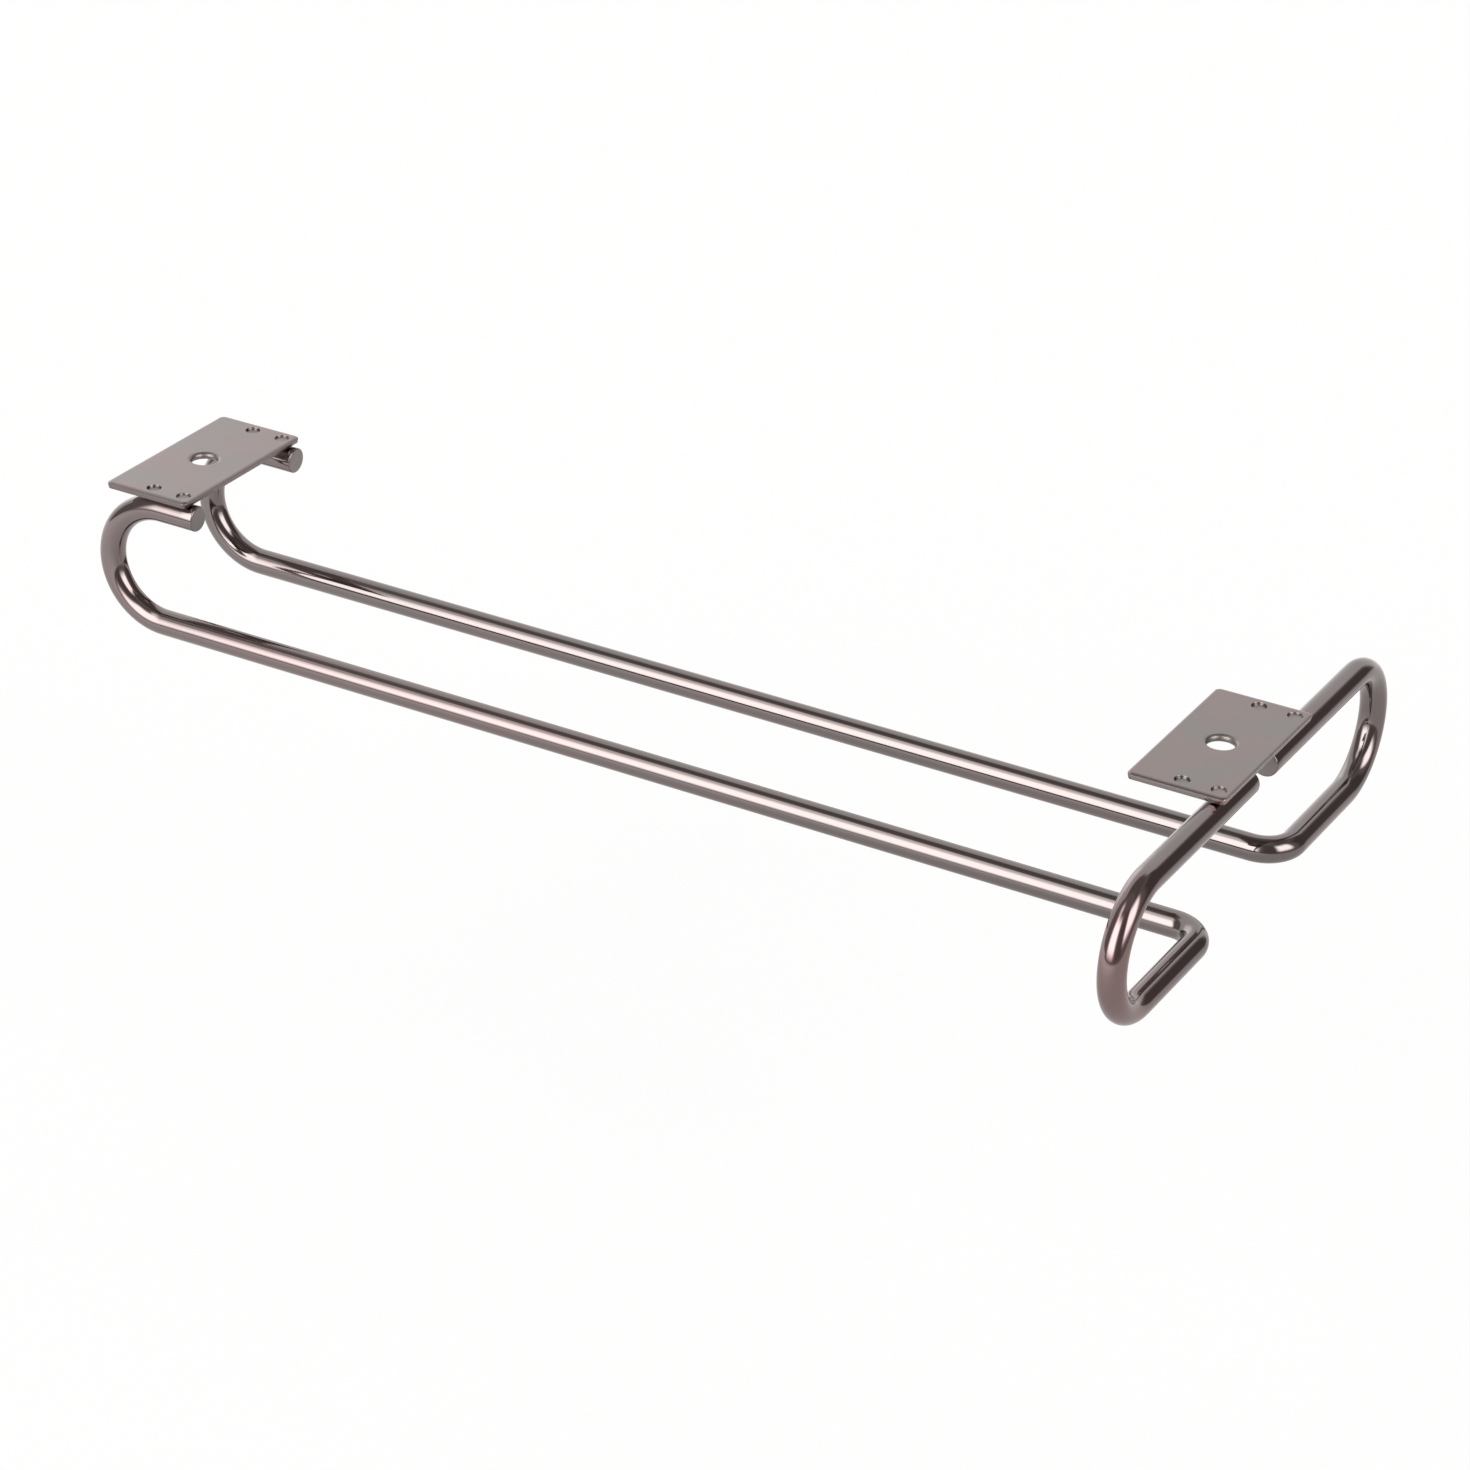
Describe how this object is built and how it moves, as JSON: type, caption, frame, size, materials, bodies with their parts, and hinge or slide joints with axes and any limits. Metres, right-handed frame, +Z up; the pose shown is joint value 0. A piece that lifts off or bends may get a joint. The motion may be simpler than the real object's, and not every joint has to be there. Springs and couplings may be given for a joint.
{
  "type": "hanging wine glass rack",
  "caption": "Under-shelf stemware rack: a slot between two bent round rods that flare into loops at the open front, hung from flat plates with screw holes.",
  "frame": {"origin": "on the underside of the shelf, which is the plane of both plates' top faces, midway between the two screw holes", "axes": "+X along the rails towards the open mouth at the front, +Y to the right as seen from the front, +Z up towards the shelf"},
  "size_m": [0.2832, 0.14, 0.0366],
  "materials": {
    "rod_steel": "polished dark nickel plate with a faint bronze tint",
    "plate_steel": "the same dark nickel plate over a rolled and stamped flat, a little duller than the rods"
  },
  "bodies": {
    "root": {"left_rod": "rod_steel", "right_rod": "rod_steel", "rear_plate": "plate_steel", "front_plate": "plate_steel"}
  },
  "joints": []
}
